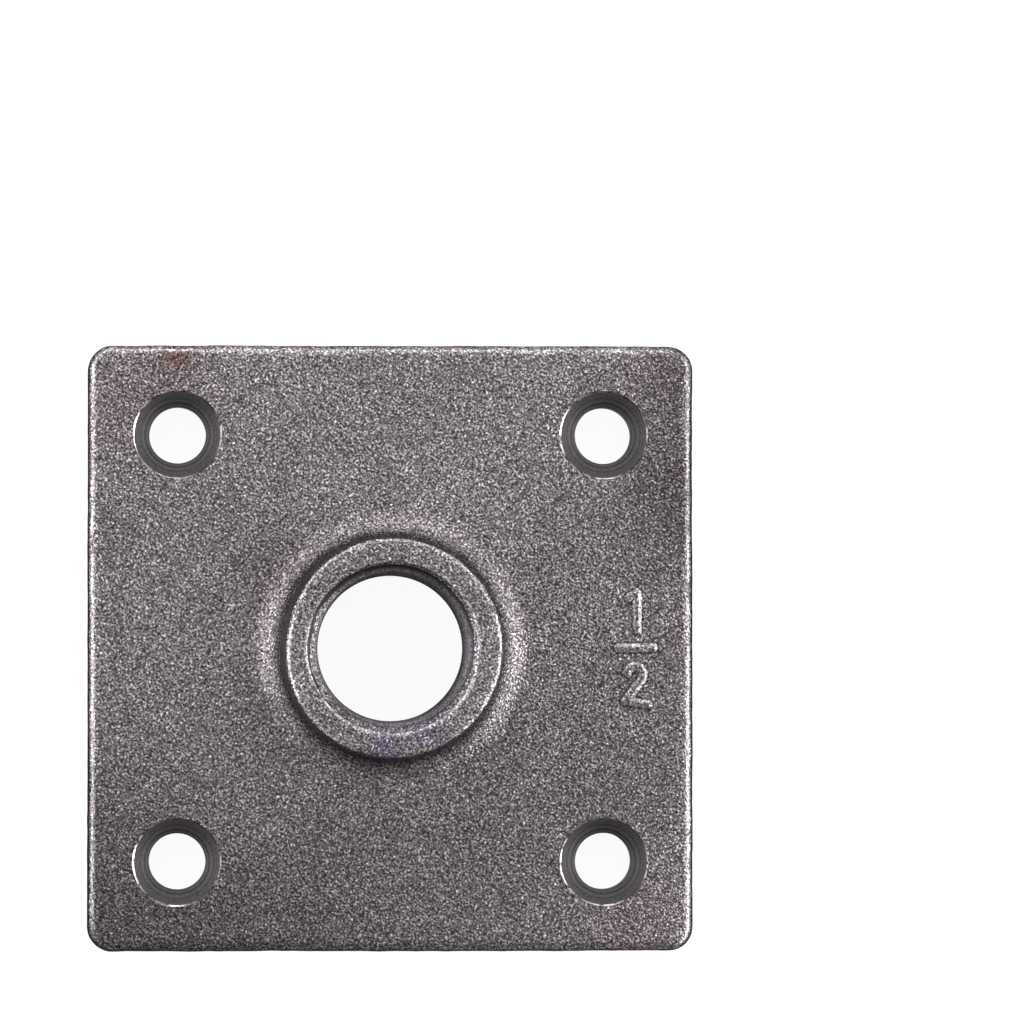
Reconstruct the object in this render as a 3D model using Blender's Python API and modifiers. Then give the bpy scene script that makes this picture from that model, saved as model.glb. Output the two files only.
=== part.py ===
"""Square floor flange for screwed pipe, cast in one piece.

A flat square plate with softened edges carries a short round hub at its centre. The hub
flows into the plate through a wide cast fillet. A tapered bore for the pipe's thread runs
through both, and each corner has a countersunk hole for a wood screw.

Units are metres. The origin is the centre of the flat back face, +Z runs out along the
hub, and the plate's sides are square to X and Y.
"""

import math

import bmesh
import bpy

# Plate
PLATE_SIDE = 0.09525
PLATE_THICKNESS = 0.007
PLATE_CORNER_RADIUS = 0.004
PLATE_DRAFT = math.radians(1.0)
FRONT_EDGE_RADIUS = 0.0018
BACK_EDGE_RADIUS = 0.0004

# Hub, measured at its outer end and from the plate's front face
HUB_END_DIAMETER = 0.0344
HUB_RISE = 0.012
HUB_DRAFT = math.radians(2.0)
HUB_RIM_RADIUS = 0.0009
HUB_FILLET_RADIUS = 0.0047

# Pipe bore, at the crests of its taper thread: 1 in 16 on the diameter
BORE_BACK_DIAMETER = 0.0228
BORE_TAPER = 1 / 16
MOUTH_DIAMETER = 0.0265
MOUTH_HALF_ANGLE = math.radians(45)
BACK_CHAMFER = 0.0005

# Screw holes
HOLE_FROM_EDGE = 0.014125
SCREW_HOLE_DIAMETER = 0.0089
COUNTERSINK_DIAMETER = 0.0138
COUNTERSINK_HALF_ANGLE = math.radians(45)

# How far a cutter reaches past the face that it cuts
CUTTER_REACH = 0.002

# Facets of round shapes
HUB_STEPS = 96
SCREW_HOLE_STEPS = 48
CORNER_STEPS = 8
FRONT_EDGE_STEPS = 4
BACK_EDGE_STEPS = 2
RIM_STEPS = 4
FILLET_STEPS = 10
SAME_PLACE = 0.00001
SHARP_ANGLE = math.radians(25)

# Raw cast iron, dark grey with a warm cast
IRON_COLOUR = (0.178, 0.161, 0.168, 1.0)
IRON_METALLIC = 0.75
IRON_ROUGHNESS = 0.5

HUB_END = PLATE_THICKNESS + HUB_RISE


def clear_scene():
    for thing in list(bpy.data.objects):
        bpy.data.objects.remove(thing, do_unlink=True)


def new_collection(name):
    collection = bpy.data.collections.new(name)
    bpy.context.scene.collection.children.link(collection)
    return collection


def new_object(name, mesh, collection):
    thing = bpy.data.objects.new(name, mesh)
    collection.objects.link(thing)
    return thing


def cast_iron():
    material = bpy.data.materials.new("cast_iron")
    material.use_nodes = True
    shader = material.node_tree.nodes["Principled BSDF"]
    shader.inputs["Base Color"].default_value = IRON_COLOUR
    shader.inputs["Metallic"].default_value = IRON_METALLIC
    shader.inputs["Roughness"].default_value = IRON_ROUGHNESS
    material.diffuse_color = IRON_COLOUR
    return material


def arc(centre, radius, start, end, steps):
    """Points of an arc in a profile's plane, both ends included."""
    angles = [start + (end - start) * step / steps for step in range(steps + 1)]
    return [
        (centre[0] + radius * math.cos(angle), centre[1] + radius * math.sin(angle))
        for angle in angles
    ]


def turned(name, profile, steps, collection):
    """A closed turned solid. The profile is (radius, height), from the axis at the top,
    down the outer side and back to the axis."""
    mesh = bpy.data.meshes.new(name)
    points = [(radius, 0.0, height) for radius, height in profile]
    edges = [(index, index + 1) for index in range(len(points) - 1)]
    mesh.from_pydata(points, edges, [])
    thing = new_object(name, mesh, collection)
    screw = thing.modifiers.new("turn", "SCREW")
    screw.axis = "Z"
    screw.angle = math.tau
    screw.steps = steps
    screw.render_steps = steps
    screw.use_merge_vertices = True
    screw.merge_threshold = SAME_PLACE
    return thing


def hide_cutter(thing):
    thing.display_type = "WIRE"
    thing.hide_render = True


def combine(target, other, operation):
    boolean = target.modifiers.new(other.name, "BOOLEAN")
    boolean.object = other
    boolean.operation = operation
    boolean.solver = "EXACT"


def edges_at(bm, height):
    return [
        edge
        for edge in bm.edges
        if all(abs(vert.co.z - height) < SAME_PLACE for vert in edge.verts)
    ]


def round_edges(bm, edges, radius, steps):
    bmesh.ops.bevel(
        bm,
        geom=edges,
        offset=radius,
        offset_type="OFFSET",
        segments=steps,
        profile=0.5,
        affect="EDGES",
    )


def plate_blank(collection):
    """The square plate: rounded corners, sides that lean in with the mould's draft, a well
    rounded front edge and a lightly broken back edge."""
    bm = bmesh.new()
    bmesh.ops.create_cube(bm, size=1.0)
    bmesh.ops.scale(bm, vec=(PLATE_SIDE, PLATE_SIDE, PLATE_THICKNESS), verts=bm.verts)
    bmesh.ops.translate(bm, vec=(0.0, 0.0, PLATE_THICKNESS / 2), verts=bm.verts)
    upright = [
        edge
        for edge in bm.edges
        if abs(edge.verts[0].co.z - edge.verts[1].co.z) > SAME_PLACE
    ]
    round_edges(bm, upright, PLATE_CORNER_RADIUS, CORNER_STEPS)
    lean = 2 * PLATE_THICKNESS * math.tan(PLATE_DRAFT)
    shrink = (PLATE_SIDE - lean) / PLATE_SIDE
    front = [vert for vert in bm.verts if vert.co.z > PLATE_THICKNESS / 2]
    bmesh.ops.scale(bm, vec=(shrink, shrink, 1.0), verts=front)
    round_edges(bm, edges_at(bm, PLATE_THICKNESS), FRONT_EDGE_RADIUS, FRONT_EDGE_STEPS)
    round_edges(bm, edges_at(bm, 0.0), BACK_EDGE_RADIUS, BACK_EDGE_STEPS)
    mesh = bpy.data.meshes.new("floor_flange")
    bm.to_mesh(mesh)
    bm.free()
    return new_object("floor_flange", mesh, collection)


def hub_blank(collection):
    """The solid hub, from its flat end down into the plate: rounded rim, drafted side and
    the fillet that lands on the plate's front face."""
    rim_centre = (
        HUB_END_DIAMETER / 2 - HUB_RIM_RADIUS / math.cos(HUB_DRAFT),
        HUB_END - HUB_RIM_RADIUS,
    )
    fillet_radius = min(HUB_FILLET_RADIUS, 0.9 * (HUB_RISE - HUB_RIM_RADIUS))
    fillet_start = math.pi + HUB_DRAFT
    fillet_end = 1.5 * math.pi
    # The last chord of the fillet crosses the plate's face at its middle, so the two
    # surfaces meet at a definite angle.
    last_chord = (fillet_end - fillet_start) / FILLET_STEPS
    sink = fillet_radius * (1 - math.cos(last_chord)) / 2
    fillet_height = PLATE_THICKNESS + fillet_radius - sink
    # Both arcs touch the drafted side, so this is the distance between their centres,
    # measured square to it.
    across = HUB_RIM_RADIUS + fillet_radius
    rise = fillet_height - rim_centre[1]
    fillet_centre = (
        rim_centre[0] + (across - rise * math.sin(HUB_DRAFT)) / math.cos(HUB_DRAFT),
        fillet_height,
    )
    root = PLATE_THICKNESS / 2
    profile = [(0.0, HUB_END)]
    profile += arc(rim_centre, HUB_RIM_RADIUS, math.pi / 2, HUB_DRAFT, RIM_STEPS)
    profile += arc(
        fillet_centre, fillet_radius, fillet_start, fillet_end, FILLET_STEPS
    )
    profile += [(fillet_centre[0], root), (0.0, root)]
    return turned("hub_blank", profile, HUB_STEPS, collection)


def bore_cutter(collection):
    """The tapered bore with the chamfer at its mouth and a small one at the back."""
    back_radius = BORE_BACK_DIAMETER / 2
    mouth_radius = MOUTH_DIAMETER / 2
    spread = math.tan(MOUTH_HALF_ANGLE)
    growth = BORE_TAPER / 2
    chamfer_foot = (HUB_END * spread + back_radius - mouth_radius) / (spread - growth)
    back_top = BACK_CHAMFER / (spread + growth)
    profile = [
        (0.0, HUB_END + CUTTER_REACH),
        (mouth_radius + CUTTER_REACH * spread, HUB_END + CUTTER_REACH),
        (back_radius + chamfer_foot * growth, chamfer_foot),
        (back_radius + back_top * growth, back_top),
        (back_radius + BACK_CHAMFER + CUTTER_REACH * spread, -CUTTER_REACH),
        (0.0, -CUTTER_REACH),
    ]
    return turned("bore_cutter", profile, HUB_STEPS, collection)


def screw_hole_cutters(collection):
    """One countersunk hole, and its copies at the plate's four corners."""
    hole_radius = SCREW_HOLE_DIAMETER / 2
    sink_radius = COUNTERSINK_DIAMETER / 2
    spread = math.tan(COUNTERSINK_HALF_ANGLE)
    depth = (sink_radius - hole_radius) / spread
    profile = [
        (0.0, PLATE_THICKNESS + CUTTER_REACH),
        (sink_radius + CUTTER_REACH * spread, PLATE_THICKNESS + CUTTER_REACH),
        (hole_radius, PLATE_THICKNESS - depth),
        (hole_radius, -CUTTER_REACH),
        (0.0, -CUTTER_REACH),
    ]
    offset = PLATE_SIDE / 2 - HOLE_FROM_EDGE
    cutters = []
    for x_side in (-1, 1):
        for y_side in (-1, 1):
            cutter = turned("screw_hole_cutter", profile, SCREW_HOLE_STEPS, collection)
            cutter.location = (x_side * offset, y_side * offset, 0.0)
            cutters.append(cutter)
    return cutters


def settle(thing):
    """Turns the joins and cuts into mesh and shades the round faces smooth."""
    bpy.context.view_layer.update()
    graph = bpy.context.evaluated_depsgraph_get()
    mesh = bpy.data.meshes.new_from_object(thing.evaluated_get(graph))
    thing.modifiers.clear()
    thing.data = mesh
    mesh.name = thing.name
    mesh.shade_smooth()
    mesh.set_sharp_from_angle(angle=SHARP_ANGLE)


def main():
    clear_scene()
    parts = new_collection("floor_flange")
    cutters = new_collection("cutters")
    casting = plate_blank(parts)
    hub = hub_blank(cutters)
    hide_cutter(hub)
    combine(casting, hub, "UNION")
    for cutter in [bore_cutter(cutters)] + screw_hole_cutters(cutters):
        hide_cutter(cutter)
        combine(casting, cutter, "DIFFERENCE")
    settle(casting)
    casting.data.materials.clear()
    casting.data.materials.append(cast_iron())


main()
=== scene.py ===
"""Looks of the square floor flange: one raw iron casting, drilled, countersunk and tapped.

The casting is made the way the real one is. A blank with the rough skin of its sand mould
and a raised size mark is modelled first; then the bore, the screw holes and the taper
thread are cut through that skin with smooth cutters.
"""

import math

import bmesh
import bpy
import numpy as np
from mathutils import Matrix, Vector, noise


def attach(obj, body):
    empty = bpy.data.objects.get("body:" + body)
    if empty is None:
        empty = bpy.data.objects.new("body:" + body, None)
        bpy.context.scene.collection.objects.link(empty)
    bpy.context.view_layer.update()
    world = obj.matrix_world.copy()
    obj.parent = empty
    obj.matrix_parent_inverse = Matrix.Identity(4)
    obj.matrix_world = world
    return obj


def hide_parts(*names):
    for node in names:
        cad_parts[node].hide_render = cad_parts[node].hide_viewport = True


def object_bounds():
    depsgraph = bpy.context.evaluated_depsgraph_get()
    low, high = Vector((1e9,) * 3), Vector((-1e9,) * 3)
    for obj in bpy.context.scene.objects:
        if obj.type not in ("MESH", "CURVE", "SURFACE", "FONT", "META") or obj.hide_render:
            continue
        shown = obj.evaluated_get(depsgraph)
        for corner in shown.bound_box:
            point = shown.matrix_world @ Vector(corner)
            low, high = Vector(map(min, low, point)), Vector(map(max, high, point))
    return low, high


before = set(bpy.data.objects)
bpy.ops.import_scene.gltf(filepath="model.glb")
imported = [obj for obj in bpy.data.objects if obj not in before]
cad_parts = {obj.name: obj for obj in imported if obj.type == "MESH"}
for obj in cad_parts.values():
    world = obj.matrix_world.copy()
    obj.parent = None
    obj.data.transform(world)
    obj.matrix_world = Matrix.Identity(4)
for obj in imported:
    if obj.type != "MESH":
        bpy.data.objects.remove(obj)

MM = 0.001
CAD_LOW, CAD_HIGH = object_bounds()

# The casting's sizes. The overall ones come from the frame.
PLATE_SIDE = CAD_HIGH.x - CAD_LOW.x
HUB_END = CAD_HIGH.z
PLATE_THICKNESS = 7.0 * MM
CORNER_RADIUS = 4.0 * MM
FRONT_EDGE_RADIUS = 1.8 * MM
BACK_EDGE_RADIUS = 0.4 * MM
PLATE_DRAFT = math.radians(1.0)
HUB_END_RADIUS = 17.2 * MM
HUB_DRAFT = math.radians(2.0)
HUB_RIM_RADIUS = 0.9 * MM
HUB_FILLET_RADIUS = 4.7 * MM

# The hub's end is a little out of round, flatter on its left side: where and how far, and
# the powers by which the flat narrows round the hub and grows towards its end
HUB_FLAT_TURN = math.radians(172)
HUB_FLAT_DEPTH = 0.7 * MM
HUB_FLAT_FOCUS = 4
HUB_FLAT_RISE = 2

# Bore and holes. The bore's taper is that of its radius.
BORE_BACK_RADIUS = 11.4 * MM
BORE_TAPER = 1 / 32
MOUTH_RADIUS = 13.4 * MM
MOUTH_FOOT_RADIUS = 11.8 * MM
BACK_CHAMFER = 0.5 * MM
HOLE_INSET = 14.125 * MM
HOLE_OFFSET = PLATE_SIDE / 2 - HOLE_INSET
SCREW_HOLE_RADIUS = 4.45 * MM
COUNTERSINK_RADIUS = 6.9 * MM
HOLE_SIDES = 96
LIP_WIDTH = 0.2 * MM
LIP_DEPTH = 0.16 * MM
CUTTER_REACH = 1.5 * MM

# Taper pipe thread, 14 turns an inch, 60 degree flanks, and the direction in which its
# groove runs out through the hub's end
THREAD_PITCH = 25.4 / 14 * MM
THREAD_DEPTH = 1.3 * MM
THREAD_ROOT_FLAT = 0.12 * MM
THREAD_FLANK = math.radians(30)
THREAD_EXIT = math.radians(230)
TAP_OVERLAP = 0.1 * MM
TAP_TURNS_BELOW = 3
TAP_SIDES = 240

# Mesh of the casting's skin: points round each loop, and the step between loops
CORNER_POINTS = 12
SIDE_POINTS = 108
SKIN_STEP = 0.6 * MM
MOUTH_STEP = SKIN_STEP / 3
BACK_STEP = 1.4 * MM
FRONT_LOOPS = 54
EDGE_STEPS = 10
BACK_EDGE_STEPS = 3
RIM_STEPS = 5
CORE_RADIUS = 10.0 * MM

# Edges are lighter in patches where their faces lean at about 35 degrees, where the lamps'
# highlights fall: wear with painted highlight. A patch has its size, its usual share of
# wear and how far that sways. The painted highlight starts just past the near side and is
# less on the far side.
WEAR_AND_HIGHLIGHT_LEAN = 0.82
WEAR_AND_HIGHLIGHT_SPAN = 0.12
WEAR_AND_HIGHLIGHT_RIM_SPAN = 0.2
WEAR_AND_HIGHLIGHT_PATCH = 2.4 * MM
WEAR_AND_HIGHLIGHT_PATCH_SHARE = 0.75
WEAR_AND_HIGHLIGHT_PATCH_SWAY = 1.2
WEAR_AND_HIGHLIGHT_NEAR_RISE = 4
WEAR_AND_HIGHLIGHT_FAR_LOSS = 0.45
WEAR_AND_HIGHLIGHT_MARK = 0.95
WEAR_AND_HIGHLIGHT_MARK_PATCH = 0.45 * MM
WEAR_AND_HIGHLIGHT_MARK_SHARE = 0.7
WEAR_AND_HIGHLIGHT_SHADE = 1.3
WEAR_AND_HIGHLIGHT_SMOOTH = 0.4

# Painted shade on steep faces: the leans where it starts and is whole, and how dark it is on
# the hub's near and far sides and on the plate's sides, how much darker under the plate's
# front edge on the left and right, and how dark along the mark's foot, where shade falls
PAINTED_SHADE_START = 0.75
PAINTED_SHADE_WHOLE = 0.45
PAINTED_SHADE_NEAR = 0.48
PAINTED_SHADE_FAR = 0.5
PAINTED_SHADE_PLATE_SIDE = 0.5
PAINTED_SHADE_UNDER_EDGE = 0.42
PAINTED_SHADE_UNDER_WIDTH = 1.2 * MM
PAINTED_SHADE_MARK_FOOT = 0.8
PAINTED_SHADE_FOOT_WIDTH = 0.3 * MM

# Unevenness of the mould's skin: how wide each kind of hollow is, and how far it sways
SKIN_WAVES = ((16.0 * MM, 0.07 * MM), (3.4 * MM, 0.07 * MM), (1.3 * MM, 0.045 * MM))

# Raised size mark: its middle on the plate, its field, and a ridge's height and widths
MARK_X = 38.2 * MM
MARK_Y = 0.0
MARK_HALF_WIDTH = 4.0 * MM
MARK_HALF_HEIGHT = 10.3 * MM
MARK_STEP = 0.13 * MM
MARK_RELIEF = 0.43 * MM
MARK_LIFT = 0.015 * MM
MARK_SINK = 0.04 * MM
MARK_BORDER = 0.9 * MM
MARK_CROWN = 0.2 * MM
MARK_FOOT = 0.8 * MM
MARK_ARC_STEPS = 12
FAR_AWAY = 1.0

SHARP_ANGLE = math.radians(32)
SLIT_WIDTH = 0.008 * MM

# Finish. The grit's size is the sand's, 0.3 to 0.5 mm, and its pattern is turned away from
# the plate's own directions, so that no streak of it lies along them.
GRIT_SIZE = 0.34 * MM
GRIT_DEPTH = 0.2 * MM
GRIT_CONTRAST = 2500.0
GRIT_AXIS = (1.0, 2.0, 3.0)
GRIT_TURN = math.radians(35)
RAW_COLOUR = "#696467"
WEAR_AND_HIGHLIGHT_COLOUR = "#b0acb0"
RUST_COLOUR = "#5a453f"
DRILLED_COLOUR = "#353235"
BURR_COLOUR = "#c4c0c4"
OIL_COLOUR = "#615d6c"
TAPPED_COLOUR = "#545054"
PLAIN_PLACE_SHADE = 1.05
LOW_ANGLE_SHEEN = 0.1
CLOUD_SIZE = 18.0 * MM
RING_SIZE = 0.35 * MM
RING_DEPTH = 0.02 * MM
CHIP_SIZE = 0.9 * MM

# Depths under the crests down to which the thread keeps its own colour, and from which it is
# wholly darkened with painted shade in the roots
THREAD_UNSHADED_DEPTH = 0.15 * MM
THREAD_SHADED_DEPTH = 0.7 * MM
ROOT_SHADE = 0.12

# Places of light rust, and places where the plate is darker, on the plate: x, y, reach and
# strength, which is negative where it is lighter. Then the oil left on the hub's end.
RUST_PLACES = (
    (-33.5 * MM, 46.0 * MM, 4.5 * MM, 1.5),
    (-38.0 * MM, 40.0 * MM, 15.0 * MM, 0.45),
    (43.0 * MM, 42.0 * MM, 11.0 * MM, 0.4),
    (-17.0 * MM, 11.0 * MM, 9.0 * MM, 0.4),
    (46.5 * MM, 28.0 * MM, 4.0 * MM, 0.7),
    (46.0 * MM, 2.0 * MM, 8.0 * MM, 0.3),
    (38.0 * MM, -43.0 * MM, 12.0 * MM, 0.4),
)
DARK_PLACES = (
    (-45.0 * MM, -45.0 * MM, 45.0 * MM, 0.5),
    (0.0, -60.0 * MM, 55.0 * MM, 0.4),
    (48.0 * MM, 25.0 * MM, 25.0 * MM, 0.5),
    (48.0 * MM, 48.0 * MM, 15.0 * MM, 0.3),
    (48.0 * MM, -15.0 * MM, 30.0 * MM, 0.2),
    (25.0 * MM, -25.0 * MM, 25.0 * MM, 0.2),
    # Painted light: lifts the shadow that the hub casts on the plate to its left.
    (-27.0 * MM, 0.0, 20.0 * MM, -0.3),
)
OIL_PLACES = (
    (-1.2 * MM, -15.0 * MM, 4.0 * MM, 0.9),
    (5.5 * MM, -12.6 * MM, 3.6 * MM, 0.8),
)

# Studio and camera, in metres and watts; lens and sensor in millimetres. The floor has a
# colour for soft light, and a glow and a share of shadow for what is seen directly.
WHITE = "#ffffff"
FLOOR_COLOUR = "#e4e4e4"
FLOOR_GLOW = 0.93
FLOOR_SHADOW = (0.15, 0.15, 0.15, 1.0)
FLOOR_SIDE = 3.0
FLOOR_GAP = 0.02 * MM
WORLD_NEAR = 0.25
WORLD_FAR = 0.75
SOFTBOX_SIDE = 0.45
SOFTBOXES = (
    ("right_softbox", (0.8, -0.05, 0.32), 11.0),
    ("left_softbox", (-0.8, 0.05, 0.32), 8.0),
    ("far_softbox", (0.0, 0.76, 0.4), 5.0),
)
CAMERA_PLACE = (-0.028, -0.006, 1.1)
CAMERA_AIM = (0.0192, 0.0215, 0.003)
CLIP_NEAR = 0.01
CLIP_FAR = 20.0
LENS = 244.9
SENSOR_WIDTH = 36.0


def mesh_object(name, points, faces):
    """A new object in the scene, with the mesh that the points and faces give."""
    mesh = bpy.data.meshes.new(name)
    mesh.from_pydata(points, [], faces)
    mesh.update()
    thing = bpy.data.objects.new(name, mesh)
    bpy.context.scene.collection.objects.link(thing)
    return thing


def ring(radius, height, sides):
    """Points on a level circle, anticlockwise from +X."""
    turn = np.arange(sides) * math.tau / sides
    return np.stack(
        [radius * np.cos(turn), radius * np.sin(turn), np.full(sides, height)], axis=1
    )


def skin(name, loops):
    """A closed mesh through loops of equally many points, from the top's middle down the
    outside to the middle underneath."""
    count = len(loops[0])
    points = np.concatenate(loops)
    faces = [tuple(range(count))]
    for row in range(len(loops) - 1):
        near = row * count
        far = near + count
        for index in range(count):
            after = (index + 1) % count
            faces.append((near + index, far + index, far + after, near + after))
    last = (len(loops) - 1) * count
    faces.append(tuple(range(last + count - 1, last - 1, -1)))
    return mesh_object(name, points.tolist(), faces)


def arc(centre, radius, start, end, steps):
    """Points of an arc in a section's plane, both ends included."""
    angles = [start + (end - start) * step / steps for step in range(steps + 1)]
    return [
        (centre[0] + radius * math.cos(angle), centre[1] + radius * math.sin(angle))
        for angle in angles
    ]


def steps_for(length, step):
    """How many steps of about the given size a length takes."""
    return max(1, round(length / step))


def outline(inset, height):
    """The plate's rounded square, moved in by inset, with the same points for any inset."""
    corner = PLATE_SIDE / 2 - CORNER_RADIUS
    radius = CORNER_RADIUS - inset
    quarter = []
    for index in range(CORNER_POINTS):
        angle = math.pi / 2 * index / CORNER_POINTS
        quarter.append(
            (corner + radius * math.cos(angle), corner + radius * math.sin(angle))
        )
    for index in range(SIDE_POINTS):
        quarter.append((corner - 2 * corner * index / SIDE_POINTS, corner + radius))
    loop = list(quarter)
    for _ in range(3):
        quarter = [(-y, x) for x, y in quarter]
        loop += quarter
    return np.array([(x, y, height) for x, y in loop])


def round_loop(radius, height):
    """A circle whose points lie on the same rays as the outline's."""
    rays = outline(0.0, 0.0)
    rays *= radius / np.linalg.norm(rays, axis=1)[:, None]
    rays[:, 2] = height
    return rays


def hub_loop(radius, height):
    """A loop of the hub, which is flatter on its left side the nearer it is to the end."""
    loop = round_loop(radius, height)
    turn = np.arctan2(loop[:, 1], loop[:, 0]) - HUB_FLAT_TURN
    side = np.maximum(np.cos(turn), 0.0) ** HUB_FLAT_FOCUS
    share = max(0.0, (height - PLATE_THICKNESS) / (HUB_END - PLATE_THICKNESS))
    share = share**HUB_FLAT_RISE
    loop[:, :2] *= (1 - HUB_FLAT_DEPTH * share / radius * side)[:, None]
    return loop


def between(first, last, count):
    """Loops that lead from one loop to another, without the first of them."""
    return [first + (last - first) * step / count for step in range(1, count + 1)]


def hub_section():
    """The hub's section from its flat end to the plate's face, as (radius, height)."""
    rim = (
        HUB_END_RADIUS - HUB_RIM_RADIUS / math.cos(HUB_DRAFT),
        HUB_END - HUB_RIM_RADIUS,
    )
    fillet_height = PLATE_THICKNESS + HUB_FILLET_RADIUS
    across = HUB_RIM_RADIUS + HUB_FILLET_RADIUS
    rise = fillet_height - rim[1]
    fillet = (
        rim[0] + (across - rise * math.sin(HUB_DRAFT)) / math.cos(HUB_DRAFT),
        fillet_height,
    )
    rim_arc = arc(rim, HUB_RIM_RADIUS, math.pi / 2, HUB_DRAFT, RIM_STEPS)
    fillet_steps = steps_for(HUB_FILLET_RADIUS * math.pi / 2, SKIN_STEP)
    fillet_arc = arc(
        fillet, HUB_FILLET_RADIUS, math.pi + HUB_DRAFT, 1.5 * math.pi, fillet_steps
    )
    (top_x, top_z), (foot_x, foot_z) = rim_arc[-1], fillet_arc[0]
    count = steps_for(top_z - foot_z, SKIN_STEP)
    side = [
        (
            top_x + (foot_x - top_x) * step / count,
            top_z + (foot_z - top_z) * step / count,
        )
        for step in range(1, count)
    ]
    return rim_arc + side + fillet_arc


def edge_section():
    """The plate's edge from its face to its back, as (inset, height)."""
    lean = math.tan(PLATE_DRAFT)
    front_height = PLATE_THICKNESS - FRONT_EDGE_RADIUS
    front_inset = (front_height - BACK_EDGE_RADIUS) * lean
    front = arc(
        (front_inset + FRONT_EDGE_RADIUS, front_height),
        FRONT_EDGE_RADIUS,
        math.pi / 2,
        math.pi,
        EDGE_STEPS,
    )
    count = steps_for(front_height - BACK_EDGE_RADIUS, SKIN_STEP)
    side = [
        (
            front_inset * (1 - step / count),
            front_height + (BACK_EDGE_RADIUS - front_height) * step / count,
        )
        for step in range(1, count)
    ]
    back = arc(
        (BACK_EDGE_RADIUS, BACK_EDGE_RADIUS),
        BACK_EDGE_RADIUS,
        math.pi,
        1.5 * math.pi,
        BACK_EDGE_STEPS,
    )
    return front + side + back


def mouth_section():
    """The cored mouth of the bore, from its foot up to the hub's flat end, as (radius,
    height)."""
    rise = MOUTH_RADIUS - MOUTH_FOOT_RADIUS
    count = steps_for(rise, MOUTH_STEP)
    return [
        (MOUTH_FOOT_RADIUS + rise * step / count, HUB_END - rise * (1 - step / count))
        for step in range(count + 1)
    ]


def cast_blank():
    """The casting before any machining: mouth, hub, fillet, plate and back in one skin."""
    mouth = [round_loop(radius, height) for radius, height in mouth_section()]
    foot_height = mouth_section()[0][1]
    hub = [hub_loop(radius, height) for radius, height in hub_section()]
    end_width = hub_section()[0][0] - MOUTH_RADIUS
    end = between(mouth[-1], hub[0], steps_for(end_width, SKIN_STEP))
    edge = [outline(inset, height) for inset, height in edge_section()]
    front = between(hub[-1], edge[0], FRONT_LOOPS)
    back_width = PLATE_SIDE / 2 - CORE_RADIUS
    back = between(
        edge[-1], round_loop(CORE_RADIUS, 0.0), steps_for(back_width, BACK_STEP)
    )
    middle = [round_loop(CORE_RADIUS, foot_height)]
    return skin("flange_casting", middle + mouth + end + hub[1:] + front + edge[1:] + back)


def bore_radius(height):
    """Radius of the bore at the crests of its thread."""
    return BORE_BACK_RADIUS + BORE_TAPER * height


def bore_cutter():
    """Tapered bore at the crests of the thread, with the small chamfer at its back."""
    back = BACK_CHAMFER / (1 + BORE_TAPER)
    high = HUB_END + CUTTER_REACH
    section = [
        (bore_radius(high), high),
        (bore_radius(back), back),
        (BORE_BACK_RADIUS + BACK_CHAMFER + CUTTER_REACH, -CUTTER_REACH),
    ]
    loops = [ring(radius, height, TAP_SIDES) for radius, height in section]
    return skin("bore_cutter", loops)


def screw_hole_cutter(x, y):
    """Drilled hole with its countersink and the bright lip that the cutter leaves."""
    depth = COUNTERSINK_RADIUS - SCREW_HOLE_RADIUS
    lip = COUNTERSINK_RADIUS + LIP_WIDTH
    spread = LIP_WIDTH / LIP_DEPTH
    section = [
        (lip + CUTTER_REACH * spread, PLATE_THICKNESS + CUTTER_REACH),
        (COUNTERSINK_RADIUS - LIP_DEPTH, PLATE_THICKNESS - LIP_DEPTH),
        (SCREW_HOLE_RADIUS, PLATE_THICKNESS - depth),
        (SCREW_HOLE_RADIUS, -CUTTER_REACH),
    ]
    loops = [ring(radius, height, HOLE_SIDES) for radius, height in section]
    cutter = skin("screw_hole_cutter", loops)
    for face in cutter.data.polygons[1 : 1 + HOLE_SIDES]:
        face.material_index = 1
    cutter.location = (x, y, 0.0)
    return cutter


def tap():
    """What the taper tap cuts away: a core with a ridge that winds round it, right-handed.
    Each column of points climbs one pitch a turn, so the last side meets the first a
    pitch further up."""
    first = THREAD_EXIT - math.tau * (HUB_END / THREAD_PITCH % 1)
    low = -CUTTER_REACH
    high = HUB_END + CUTTER_REACH
    root = THREAD_ROOT_FLAT / 2
    foot = root + (THREAD_DEPTH + TAP_OVERLAP) * math.tan(THREAD_FLANK)
    profile = [
        (-foot, -TAP_OVERLAP),
        (-root, THREAD_DEPTH),
        (root, THREAD_DEPTH),
        (foot, -TAP_OVERLAP),
    ]
    columns = [
        (turn * THREAD_PITCH + shift, lift)
        for turn in range(-TAP_TURNS_BELOW, math.ceil(high / THREAD_PITCH) + 2)
        for shift, lift in profile
    ]
    points = []
    numbers = []
    for side in range(TAP_SIDES):
        angle = first + math.tau * side / TAP_SIDES
        climb = THREAD_PITCH * side / TAP_SIDES
        levels = [(low, -TAP_OVERLAP), (high, -TAP_OVERLAP)]
        bottom = len(points)
        row = []
        for shift, lift in columns:
            height = shift + climb
            if height <= low:
                row.append(bottom)
            elif height >= high:
                row.append(bottom + 1)
            else:
                row.append(bottom + len(levels))
                levels.append((height, lift))
        for height, lift in levels:
            radius = bore_radius(height) + lift
            points.append((radius * math.cos(angle), radius * math.sin(angle), height))
        numbers.append(row)

    def number(side, column):
        if side == TAP_SIDES:
            side, column = 0, column + len(profile)
        return numbers[side][min(max(column, 0), len(columns) - 1)]

    faces = [
        tuple(row[-1] for row in numbers),
        tuple(row[0] for row in reversed(numbers)),
    ]
    for side in range(TAP_SIDES):
        for column in range(-len(profile), len(columns)):
            corners = (
                number(side, column),
                number(side + 1, column),
                number(side + 1, column + 1),
                number(side, column + 1),
            )
            distinct = tuple(dict.fromkeys(corners))
            if len(distinct) > 2:
                faces.append(distinct)
    return mesh_object("tap", points, faces)


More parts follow.
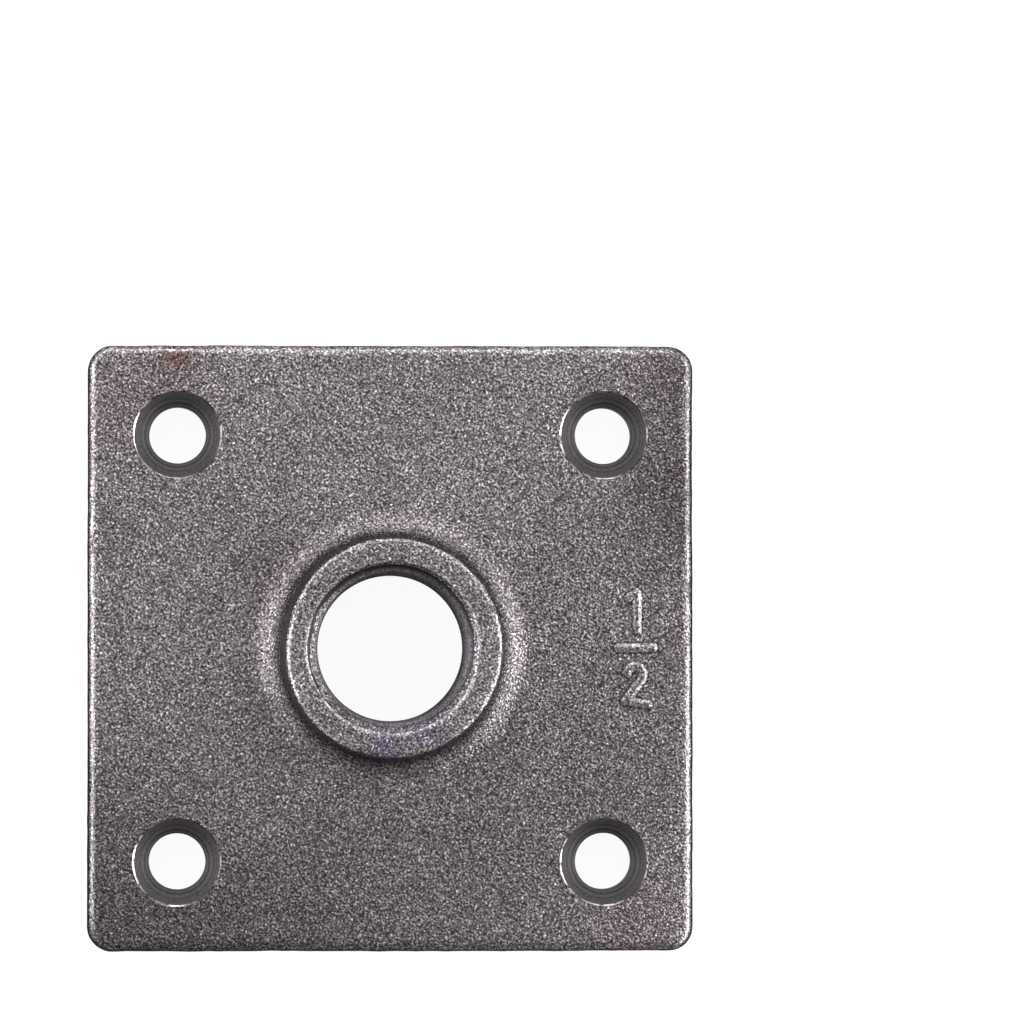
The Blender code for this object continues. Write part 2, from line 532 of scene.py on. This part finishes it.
def mark_strokes():
    """The numerals 1 over 2 with a bar between them, as lines of points in the plate's
    plane: a plain size number."""
    one = [(-0.8, 7.9), (0.5, 8.7), (0.5, 2.9)]
    bar = [(-2.5, 0.0), (3.1, 0.1)]
    two = arc((0.2, -4.1), 1.3, math.radians(170), math.radians(-42), MARK_ARC_STEPS)
    two += [(-1.4, -8.3), (2.2, -8.8)]
    return [[(x * MM, y * MM) for x, y in stroke] for stroke in (one, bar, two)]


def distance_to_line(points, start, end):
    """Distances of points in a plane from the line between start and end."""
    start = np.array(start)
    along = np.array(end) - start
    share = np.clip((points - start) @ along / (along @ along), 0.0, 1.0)
    return np.linalg.norm(points - start - share[:, None] * along, axis=1)


def distance_to_mark(plan):
    """Distances of points from the nearest stroke's middle line, in the mark's own plane."""
    distance = np.full(len(plan), FAR_AWAY)
    for stroke in mark_strokes():
        for start, end in zip(stroke, stroke[1:]):
            distance = np.minimum(distance, distance_to_line(plan, start, end))
    return distance


def size_mark():
    """The raised mark as a fine patch of the mould: low ridges on a field that lies a hair
    above the plate's face and dips under it along its border."""
    across = np.arange(-MARK_HALF_WIDTH, MARK_HALF_WIDTH, MARK_STEP)
    upward = np.arange(-MARK_HALF_HEIGHT, MARK_HALF_HEIGHT, MARK_STEP)
    columns, rows = len(across), len(upward)
    plan = np.array([(x, y) for y in upward for x in across])
    distance = distance_to_mark(plan)
    share = np.clip((MARK_FOOT - distance) / (MARK_FOOT - MARK_CROWN), 0.0, 1.0)
    inside = np.minimum(
        MARK_HALF_WIDTH - np.abs(plan[:, 0]), MARK_HALF_HEIGHT - np.abs(plan[:, 1])
    )
    dip = 1 - np.clip(inside / MARK_BORDER, 0.0, 1.0)
    height = PLATE_THICKNESS + MARK_LIFT - (MARK_LIFT + MARK_SINK) * dip
    height += MARK_RELIEF * share
    plan += (MARK_X, MARK_Y)
    top = np.column_stack([plan, height])
    border = list(range(columns))
    border += [row * columns + columns - 1 for row in range(1, rows)]
    border += [(rows - 1) * columns + index for index in range(columns - 2, -1, -1)]
    border += [row * columns for row in range(rows - 2, 0, -1)]
    base = top[border]
    base[:, 2] = PLATE_THICKNESS / 2
    faces = []
    for row in range(rows - 1):
        for column in range(columns - 1):
            near = row * columns + column
            faces.append((near, near + 1, near + columns + 1, near + columns))
    under = len(top)
    for index, corner in enumerate(border):
        after = (index + 1) % len(border)
        faces.append((corner, under + index, under + after, border[after]))
    faces.append(tuple(range(under + len(border) - 1, under - 1, -1)))
    return mesh_object("size_mark", np.concatenate([top, base]).tolist(), faces)


def close_slits(mesh):
    """Merges points closer than a slit's width, and closes what a Boolean left open."""
    bm = bmesh.new()
    bm.from_mesh(mesh)
    bmesh.ops.remove_doubles(bm, verts=bm.verts, dist=SLIT_WIDTH)
    bmesh.ops.dissolve_degenerate(bm, edges=bm.edges, dist=SLIT_WIDTH)
    slits = [edge for edge in bm.edges if edge.is_boundary]
    bmesh.ops.holes_fill(bm, edges=slits, sides=0)
    bm.to_mesh(mesh)
    bm.free()


def combine(target, tools, operation):
    """Joins or cuts target with each tool, and leaves the result as target's mesh."""
    for tool in tools:
        boolean = target.modifiers.new(tool.name, "BOOLEAN")
        boolean.object = tool
        boolean.operation = operation
        boolean.solver = "EXACT"
        boolean.material_mode = "TRANSFER"
    bpy.context.view_layer.update()
    graph = bpy.context.evaluated_depsgraph_get()
    mesh = bpy.data.meshes.new_from_object(target.evaluated_get(graph))
    target.modifiers.clear()
    target.data = mesh
    close_slits(mesh)
    for tool in tools:
        bpy.data.objects.remove(tool, do_unlink=True)


def roughen(thing):
    """Sways the skin in and out as the sand leaves it, and keeps it inside the casting's
    overall sizes."""
    mesh = thing.data
    normals = [vert.normal.copy() for vert in mesh.vertices]
    for vert, normal in zip(mesh.vertices, normals):
        place = vert.co.copy()
        for width, height in SKIN_WAVES:
            place += normal * height * noise.noise(vert.co / width)
        for axis in range(3):
            place[axis] = min(max(place[axis], CAD_LOW[axis]), CAD_HIGH[axis])
        vert.co = place
    mesh.update()


def edge_inset(x, y):
    """Distance inwards from the plate's outline."""
    corner = PLATE_SIDE / 2 - CORNER_RADIUS
    past_x, past_y = abs(x) - corner, abs(y) - corner
    outside = math.hypot(max(past_x, 0.0), max(past_y, 0.0))
    return CORNER_RADIUS - outside - min(max(past_x, past_y), 0.0)


def wear_and_highlight_share(place, normal):
    """How far wear and painted highlight make a point bright: patches on the left, right and
    far edges of the plate and the hub's rim, the mouth's lip away from its far side, and the
    mark."""
    x, y, z = place
    radius = math.hypot(x, y)
    on_hub = z > HUB_END - HUB_RIM_RADIUS
    span = WEAR_AND_HIGHLIGHT_RIM_SPAN if on_hub else WEAR_AND_HIGHLIGHT_SPAN
    lean = max(0.0, 1 - abs(normal.z - WEAR_AND_HIGHLIGHT_LEAN) / span)
    patch = WEAR_AND_HIGHLIGHT_PATCH_SHARE + WEAR_AND_HIGHLIGHT_PATCH_SWAY * noise.noise(place / WEAR_AND_HIGHLIGHT_PATCH)
    patch = min(max(patch, 0.0), 1.0)
    # The mouth's lip: wear with painted highlight, fading towards its far side.
    if z > HUB_END - LIP_DEPTH and abs(radius - MOUTH_RADIUS) < LIP_WIDTH:
        return patch * (1 - max(0.0, y / radius))
    near_rim = on_hub and radius > HUB_END_RADIUS - 2 * HUB_RIM_RADIUS
    near_edge = z > PLATE_THICKNESS / 2 and edge_inset(x, y) < FRONT_EDGE_RADIUS
    if near_rim or near_edge:
        # Painted highlight set by which way the face turns: none towards the near side,
        # whole to the left and right, less towards the far side.
        facing = normal.y / max(math.hypot(normal.x, normal.y), SLIT_WIDTH)
        reach = min(1.0, WEAR_AND_HIGHLIGHT_NEAR_RISE * (1 + facing))
        reach *= 1 - WEAR_AND_HIGHLIGHT_FAR_LOSS * max(0.0, facing)
        return lean * patch * reach
    # On the mark: wear with painted highlight on the ridges' leaning flanks.
    if z > PLATE_THICKNESS and on_mark_field(x, y):
        grain = WEAR_AND_HIGHLIGHT_MARK_SHARE + noise.noise(place / WEAR_AND_HIGHLIGHT_MARK_PATCH)
        return WEAR_AND_HIGHLIGHT_MARK * lean * min(max(grain, 0.0), 1.0)
    return 0.0


def on_mark_field(x, y):
    """Whether a point of the plan lies on the raised mark's field."""
    return abs(x - MARK_X) < MARK_HALF_WIDTH and abs(y - MARK_Y) < MARK_HALF_HEIGHT


def painted_shade_share(place, normal, foot):
    """How dark the painted shade makes a point. It lies on steep faces, most of all under
    the plate's front edge on the left and right, and along the raised mark's foot."""
    # Painted shade along the raised mark's foot, where shade falls.
    if foot < PAINTED_SHADE_FOOT_WIDTH:
        return PAINTED_SHADE_MARK_FOOT * (1 - foot / PAINTED_SHADE_FOOT_WIDTH)
    # Painted shade on steep faces, darker the steeper they are.
    steep = (PAINTED_SHADE_START - abs(normal.z)) / (PAINTED_SHADE_START - PAINTED_SHADE_WHOLE)
    steep = min(max(steep, 0.0), 1.0)
    level = max(math.hypot(normal.x, normal.y), SLIT_WIDTH)
    facing = normal.y / level
    # On the hub, how dark the painted shade is depends on whether the face turns to the near
    # side or the far side.
    if place.z > PLATE_THICKNESS:
        return steep * (PAINTED_SHADE_NEAR + (PAINTED_SHADE_FAR - PAINTED_SHADE_NEAR) * (facing + 1) / 2)
    # On the plate's sides it is darker just under the front edge on faces turned left or
    # right, and there is none there on faces turned to the far side.
    below = PLATE_THICKNESS - FRONT_EDGE_RADIUS - place.z
    under = 1 - min(max(below / PAINTED_SHADE_UNDER_WIDTH, 0.0), 1.0)
    edge = PAINTED_SHADE_UNDER_EDGE * abs(normal.x) / level - PAINTED_SHADE_PLATE_SIDE * max(0.0, facing)
    return steep * (PAINTED_SHADE_PLATE_SIDE + edge * under)


def paint_wear_highlight_and_shade(casting):
    """Writes each point's share of wear with painted highlight, and of painted shade, which
    the raw iron shows.
    """
    mesh = casting.data
    wear_and_highlight = mesh.attributes.new("wear_and_highlight", "FLOAT", "POINT").data
    painted_shade_data = mesh.attributes.new("painted_shade", "FLOAT", "POINT").data
    plan = np.array([(vert.co.x - MARK_X, vert.co.y - MARK_Y) for vert in mesh.vertices])
    feet = np.abs(distance_to_mark(plan) - MARK_FOOT)
    for vert, wear_and_highlight_amount, dark, foot in zip(mesh.vertices, wear_and_highlight, painted_shade_data, feet):
        near_mark = abs(vert.co.z - PLATE_THICKNESS) < MARK_RELIEF
        wear_and_highlight_amount.value = wear_and_highlight_share(vert.co, vert.normal)
        dark.value = painted_shade_share(vert.co, vert.normal, foot if near_mark else FAR_AWAY)


def machine(casting):
    """Drills and countersinks the plate, then bores the hub and taps the bore."""
    drilled = drilled_iron()
    burr = burred_edge()
    cutters = []
    for x in (-HOLE_OFFSET, HOLE_OFFSET):
        for y in (-HOLE_OFFSET, HOLE_OFFSET):
            cutters.append(screw_hole_cutter(x, y))
    for cutter in cutters:
        cutter.data.materials.append(drilled)
        cutter.data.materials.append(burr)
    combine(casting, cutters, "DIFFERENCE")
    tapped = tapped_iron()
    for cutter in (bore_cutter(), tap()):
        cutter.data.materials.append(tapped)
        combine(casting, [cutter], "DIFFERENCE")


def flange_casting():
    """The whole flange: cast, marked, rough from the sand, machined, and given wear with
    painted highlight and painted shade.
    """
    casting = cast_blank()
    casting.data.materials.append(raw_iron())
    combine(casting, [size_mark()], "UNION")
    roughen(casting)
    machine(casting)
    paint_wear_highlight_and_shade(casting)
    casting.data.shade_smooth()
    casting.data.set_sharp_from_angle(angle=SHARP_ANGLE)
    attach(casting, "root")
    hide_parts("floor_flange")


def linear(hex_colour):
    """An sRGB hex colour as linear red, green, blue and alpha."""
    channels = [int(hex_colour[start : start + 2], 16) / 255 for start in (1, 3, 5)]
    return [
        value / 12.92 if value <= 0.04045 else ((value + 0.055) / 1.055) ** 2.4
        for value in channels
    ] + [1.0]


def add(tree, kind, inputs=None, **settings):
    """A node with its settings. An input is a plain value or the socket that feeds it."""
    node = tree.nodes.new("ShaderNode" + kind)
    for name, value in settings.items():
        setattr(node, name, value)
    for name, value in (inputs or {}).items():
        if isinstance(value, bpy.types.NodeSocket):
            tree.links.new(value, node.inputs[name])
        else:
            node.inputs[name].default_value = value
    return node


def new_material(name):
    """A new material, with its node tree and the shader in it."""
    material = bpy.data.materials.new(name)
    material.use_nodes = True
    tree = material.node_tree
    return material, tree, tree.nodes["Principled BSDF"]


def near_places(tree, place, places):
    """The strengths of the places that a point is near, added up: each is whole at its
    place's middle and nothing out of its reach."""
    flat = add(tree, "VectorMath", {0: place, 1: (1.0, 1.0, 0.0)}, operation="MULTIPLY")
    total = None
    for x, y, reach, strength in places:
        far = add(
            tree, "VectorMath", {0: flat.outputs[0], 1: (x, y, 0.0)}, operation="DISTANCE"
        ).outputs["Value"]
        near = add(
            tree,
            "MapRange",
            {"Value": far, "From Min": reach, "From Max": 0.0, "To Max": strength},
            interpolation_type="SMOOTHSTEP",
        ).outputs["Result"]
        if total:
            near = add(tree, "Math", {0: total, 1: near}, operation="ADD").outputs[0]
        total = near
    return total


def raw_iron():
    """Grey iron as cast: the print of the sand is a fine grit of dark pits and bright
    points, flattened by wear, so it sparkles instead of shining and has little sheen at a
    low angle.
    Steep faces and the mark's foot carry painted shade, edges are lighter with wear and
    painted highlight, damp has left thin rust in a few places and oil a faint violet film on
    the hub's end."""
    material, tree, shader = new_material("raw_cast_iron")
    place = add(tree, "TexCoord").outputs["Object"]
    oblique = add(
        tree, "VectorRotate", {"Vector": place, "Axis": GRIT_AXIS, "Angle": GRIT_TURN}
    ).outputs[0]
    grit = add(
        tree,
        "TexNoise",
        {"Vector": oblique, "Scale": 1 / GRIT_SIZE, "Detail": 2.0, "Roughness": 0.55},
    ).outputs["Fac"]
    clouds = add(
        tree,
        "TexNoise",
        {"Vector": place, "Scale": 1 / CLOUD_SIZE, "Detail": 5.0, "Roughness": 0.6},
    ).outputs["Fac"]
    grit_share = add(tree, "Math", {0: grit, 1: 0.5}, operation="SUBTRACT").outputs[0]
    glint = add(
        tree, "Math", {0: GRIT_CONTRAST, 1: grit_share}, operation="POWER"
    ).outputs[0]
    cloud = add(
        tree,
        "MapRange",
        {"Value": clouds, "From Min": 0.3, "From Max": 0.7, "To Min": 0.9, "To Max": 1.1},
    ).outputs["Result"]
    # The plate is darker towards the lower left, the bottom and the right side, and lighter
    # left of the hub, where painted light lifts the hub's shadow.
    place_darkening = near_places(tree, place, DARK_PLACES)
    thin = add(
        tree, "Math", {0: PLAIN_PLACE_SHADE, 1: place_darkening}, operation="SUBTRACT"
    ).outputs[0]
    # Painted shade on steep faces and along the mark's foot, read from the mesh's attribute.
    black = add(tree, "Attribute", attribute_name="painted_shade").outputs["Fac"]
    unshaded = add(tree, "Math", {0: 1.0, 1: black}, operation="SUBTRACT").outputs[0]
    wear_and_highlight_amount = add(tree, "Attribute", attribute_name="wear_and_highlight").outputs["Fac"]
    # Where wear and painted highlight lie, the grit is evened out towards a lighter shade.
    smooth = add(
        tree, "Math", {0: wear_and_highlight_amount, 1: WEAR_AND_HIGHLIGHT_SMOOTH}, operation="MULTIPLY"
    ).outputs[0]
    grain = add(
        tree, "Mix", {"Factor": smooth, "A": glint, "B": WEAR_AND_HIGHLIGHT_SHADE}
    ).outputs["Result"]
    shade = add(tree, "Math", {0: grain, 1: cloud}, operation="MULTIPLY").outputs[0]
    shade = add(tree, "Math", {0: shade, 1: thin}, operation="MULTIPLY").outputs[0]
    shade = add(tree, "Math", {0: shade, 1: unshaded}, operation="MULTIPLY").outputs[0]
    damp = near_places(tree, place, RUST_PLACES)
    rust = add(tree, "Math", {0: damp, 1: clouds}, operation="MULTIPLY").outputs[0]
    tinted = add(
        tree,
        "Mix",
        {"Factor": rust, "A": linear(RAW_COLOUR), "B": linear(RUST_COLOUR)},
        data_type="RGBA",
    ).outputs["Result"]
    film = near_places(tree, place, OIL_PLACES)
    tinted = add(
        tree,
        "Mix",
        {"Factor": film, "A": tinted, "B": linear(OIL_COLOUR)},
        data_type="RGBA",
    ).outputs["Result"]
    # The light colour of wear and painted highlight.
    bright = add(
        tree,
        "Mix",
        {"Factor": wear_and_highlight_amount, "A": tinted, "B": linear(WEAR_AND_HIGHLIGHT_COLOUR)},
        data_type="RGBA",
    ).outputs["Result"]
    colour = add(
        tree, "VectorMath", {0: bright, "Scale": shade}, operation="SCALE"
    ).outputs[0]
    # The sheen at a low angle is less where the painted shade lies.
    low_angle = add(
        tree, "Math", {0: unshaded, 1: LOW_ANGLE_SHEEN}, operation="MULTIPLY"
    ).outputs[0]
    bump = add(
        tree, "Bump", {"Height": grit, "Strength": 1.0, "Distance": GRIT_DEPTH}
    ).outputs["Normal"]
    tree.links.new(colour, shader.inputs["Base Color"])
    tree.links.new(low_angle, shader.inputs["Specular Tint"])
    tree.links.new(bump, shader.inputs["Normal"])
    shader.inputs["Metallic"].default_value = 0.85
    shader.inputs["Roughness"].default_value = 0.45
    return material


def hole_distance(tree, place):
    """Distance of a point from the axis of the nearest screw hole."""
    folded = add(tree, "VectorMath", {0: place}, operation="ABSOLUTE").outputs[0]
    flat = add(
        tree, "VectorMath", {0: folded, 1: (1.0, 1.0, 0.0)}, operation="MULTIPLY"
    ).outputs[0]
    axis = (HOLE_OFFSET, HOLE_OFFSET, 0.0)
    return add(
        tree, "VectorMath", {0: flat, 1: axis}, operation="DISTANCE"
    ).outputs["Value"]


def drilled_iron():
    """Iron cut by a drill and a countersink: smooth and dark, with fine rings where the
    cutter's edge chattered."""
    material, tree, shader = new_material("drilled_iron")
    place = add(tree, "TexCoord").outputs["Object"]
    radius = hole_distance(tree, place)
    rings = add(
        tree,
        "TexNoise",
        {"W": radius, "Scale": 1 / RING_SIZE, "Detail": 2.0},
        noise_dimensions="1D",
    ).outputs["Fac"]
    grain = add(
        tree, "TexNoise", {"Vector": place, "Scale": 1 / GRIT_SIZE, "Detail": 2.0}
    ).outputs["Fac"]
    marks = add(tree, "Math", {0: rings, 1: grain}, operation="ADD").outputs[0]
    shade = add(
        tree,
        "MapRange",
        {"Value": marks, "From Min": 0.75, "From Max": 1.25, "To Min": 0.4, "To Max": 1.6},
    ).outputs["Result"]
    colour = add(
        tree,
        "VectorMath",
        {0: linear(DRILLED_COLOUR)[:3], "Scale": shade},
        operation="SCALE",
    ).outputs[0]
    bump = add(
        tree, "Bump", {"Height": marks, "Strength": 1.0, "Distance": RING_DEPTH}
    ).outputs["Normal"]
    tree.links.new(colour, shader.inputs["Base Color"])
    tree.links.new(bump, shader.inputs["Normal"])
    shader.inputs["Metallic"].default_value = 0.3
    shader.inputs["Roughness"].default_value = 0.7
    return material


def burred_edge():
    """The thin lip that the countersink turns up: fresh-cut iron, so it glitters. It is
    chipped, and lighter where it faces +X, a painted highlight on each hole's left side."""
    material, tree, shader = new_material("burred_iron_edge")
    place = add(tree, "TexCoord").outputs["Object"]
    chips = add(
        tree, "TexNoise", {"Vector": place, "Scale": 1 / CHIP_SIZE, "Detail": 3.0}
    ).outputs["Fac"]
    whole = add(
        tree,
        "MapRange",
        {"Value": chips, "From Min": 0.38, "From Max": 0.56, "To Min": 0.1, "To Max": 1.0},
    ).outputs["Result"]
    # Painted highlight: the lip is lighter where it faces +X, towards the right lamp.
    facing = add(tree, "NewGeometry").outputs["Normal"]
    sideways = add(tree, "SeparateXYZ", {"Vector": facing}).outputs["X"]
    side = add(
        tree,
        "MapRange",
        {"Value": sideways, "From Min": -0.4, "From Max": 0.5, "To Min": 0.2, "To Max": 1.0},
    ).outputs["Result"]
    shade = add(tree, "Math", {0: whole, 1: side}, operation="MULTIPLY").outputs[0]
    colour = add(
        tree,
        "VectorMath",
        {0: linear(BURR_COLOUR)[:3], "Scale": shade},
        operation="SCALE",
    ).outputs[0]
    tree.links.new(colour, shader.inputs["Base Color"])
    shader.inputs["Metallic"].default_value = 1.0
    shader.inputs["Roughness"].default_value = 0.35
    return material


def tapped_iron():
    """Iron cut by a tap: mottled on the crests, and darkened with painted shade down in the
    roots."""
    material, tree, shader = new_material("tapped_iron")
    place = add(tree, "TexCoord").outputs["Object"]
    parts = add(tree, "SeparateXYZ", {"Vector": place})
    flat = add(
        tree, "VectorMath", {0: place, 1: (1.0, 1.0, 0.0)}, operation="MULTIPLY"
    ).outputs[0]
    radius = add(tree, "VectorMath", {0: flat}, operation="LENGTH").outputs["Value"]
    crest = add(
        tree,
        "Math",
        {0: parts.outputs["Z"], 1: BORE_TAPER, 2: BORE_BACK_RADIUS},
        operation="MULTIPLY_ADD",
    ).outputs[0]
    depth = add(tree, "Math", {0: radius, 1: crest}, operation="SUBTRACT").outputs[0]
    # Painted shade: darker the deeper a point lies under the crests.
    root_shading = add(
        tree,
        "MapRange",
        {
            "Value": depth,
            "From Min": THREAD_UNSHADED_DEPTH,
            "From Max": THREAD_SHADED_DEPTH,
            "To Min": 1.0,
            "To Max": ROOT_SHADE,
        },
    ).outputs["Result"]
    grain = add(
        tree, "TexNoise", {"Vector": place, "Scale": 1 / GRIT_SIZE, "Detail": 2.0}
    ).outputs["Fac"]
    streak = add(
        tree,
        "MapRange",
        {"Value": grain, "From Min": 0.35, "From Max": 0.65, "To Min": 0.3, "To Max": 1.7},
    ).outputs["Result"]
    shade = add(tree, "Math", {0: root_shading, 1: streak}, operation="MULTIPLY").outputs[0]
    colour = add(
        tree,
        "VectorMath",
        {0: linear(TAPPED_COLOUR)[:3], "Scale": shade},
        operation="SCALE",
    ).outputs[0]
    tree.links.new(colour, shader.inputs["Base Color"])
    shader.inputs["Metallic"].default_value = 0.6
    shader.inputs["Roughness"].default_value = 0.55
    return material


def seen_directly(tree):
    """1 for what the camera, a reflection or a clear material sees, 0 for soft light."""
    path = add(tree, "LightPath").outputs
    seen = add(
        tree, "Math", {0: path["Is Camera Ray"], 1: path["Is Glossy Ray"]}, operation="ADD"
    ).outputs[0]
    return add(
        tree,
        "Math",
        {0: seen, 1: path["Is Transmission Ray"]},
        operation="ADD",
        use_clamp=True,
    ).outputs[0]


def studio_floor():
    """A plain white sheet that still shows the flange's shadow. It lies a hair below the
    back face, and is clear from underneath, so that the back can be looked at."""
    half = FLOOR_SIDE / 2
    square = [(-half, -half), (half, -half), (half, half), (-half, half)]
    corners = [(x, y, -FLOOR_GAP) for x, y in square]
    floor = mesh_object("studio_floor", corners, [(0, 1, 2, 3)])
    material = bpy.data.materials.new("white_sheet")
    material.use_nodes = True
    tree = material.node_tree
    tree.nodes.clear()
    sheet = add(tree, "BsdfDiffuse", {"Color": linear(FLOOR_COLOUR)}).outputs[0]
    shadow = add(tree, "BsdfDiffuse", {"Color": FLOOR_SHADOW}).outputs[0]
    glow = add(tree, "Emission", {"Color": linear(WHITE), "Strength": FLOOR_GLOW}).outputs[0]
    white = add(tree, "AddShader", {0: shadow, 1: glow}).outputs[0]
    upper = add(tree, "MixShader", {0: seen_directly(tree), 1: sheet, 2: white}).outputs[0]
    below = add(tree, "NewGeometry").outputs["Backfacing"]
    clear = add(tree, "BsdfTransparent").outputs[0]
    surface = add(tree, "MixShader", {0: below, 1: upper, 2: clear}).outputs[0]
    add(tree, "OutputMaterial", {"Surface": surface})
    floor.data.materials.append(material)


def studio_world():
    """Soft light from all round, the least from the near side."""
    world = bpy.data.worlds.new("studio")
    bpy.context.scene.world = world
    world.use_nodes = True
    tree = world.node_tree
    tree.nodes.clear()
    direction = add(tree, "TexCoord").outputs["Generated"]
    farther = add(tree, "SeparateXYZ", {"Vector": direction}).outputs["Y"]
    strength = add(
        tree,
        "MapRange",
        {
            "Value": farther,
            "From Min": -1.0,
            "From Max": 1.0,
            "To Min": WORLD_NEAR,
            "To Max": WORLD_FAR,
        },
    ).outputs["Result"]
    light = add(tree, "Background", {"Color": linear(WHITE), "Strength": strength})
    add(tree, "OutputWorld", {"Surface": light.outputs[0]})


def softbox(name, place, power):
    """A square lamp that faces the flange."""
    light = bpy.data.lights.new(name, "AREA")
    light.shape = "SQUARE"
    light.size = SOFTBOX_SIDE
    light.energy = power
    lamp = bpy.data.objects.new(name, light)
    bpy.context.scene.collection.objects.link(lamp)
    lamp.location = place
    lamp.rotation_euler = Vector(place).to_track_quat("Z", "Y").to_euler()


def camera():
    """Nearly straight above, a little to the left, with the plate's top edge upwards."""
    data = bpy.data.cameras.new("camera")
    data.lens = LENS
    data.sensor_width = SENSOR_WIDTH
    data.clip_start = CLIP_NEAR
    data.clip_end = CLIP_FAR
    eye = bpy.data.objects.new("camera", data)
    bpy.context.scene.collection.objects.link(eye)
    place = Vector(CAMERA_PLACE)
    ahead = (Vector(CAMERA_AIM) - place).normalized()
    right = ahead.cross(Vector((0.0, 1.0, 0.0))).normalized()
    upward = right.cross(ahead)
    turn = Matrix((right, upward, -ahead)).transposed()
    eye.matrix_world = Matrix.Translation(place) @ turn.to_4x4()
    bpy.context.scene.camera = eye


bpy.context.scene.view_settings.view_transform = "Standard"
flange_casting()
studio_floor()
studio_world()
for lamp_name, lamp_place, lamp_power in SOFTBOXES:
    softbox(lamp_name, lamp_place, lamp_power)
camera()
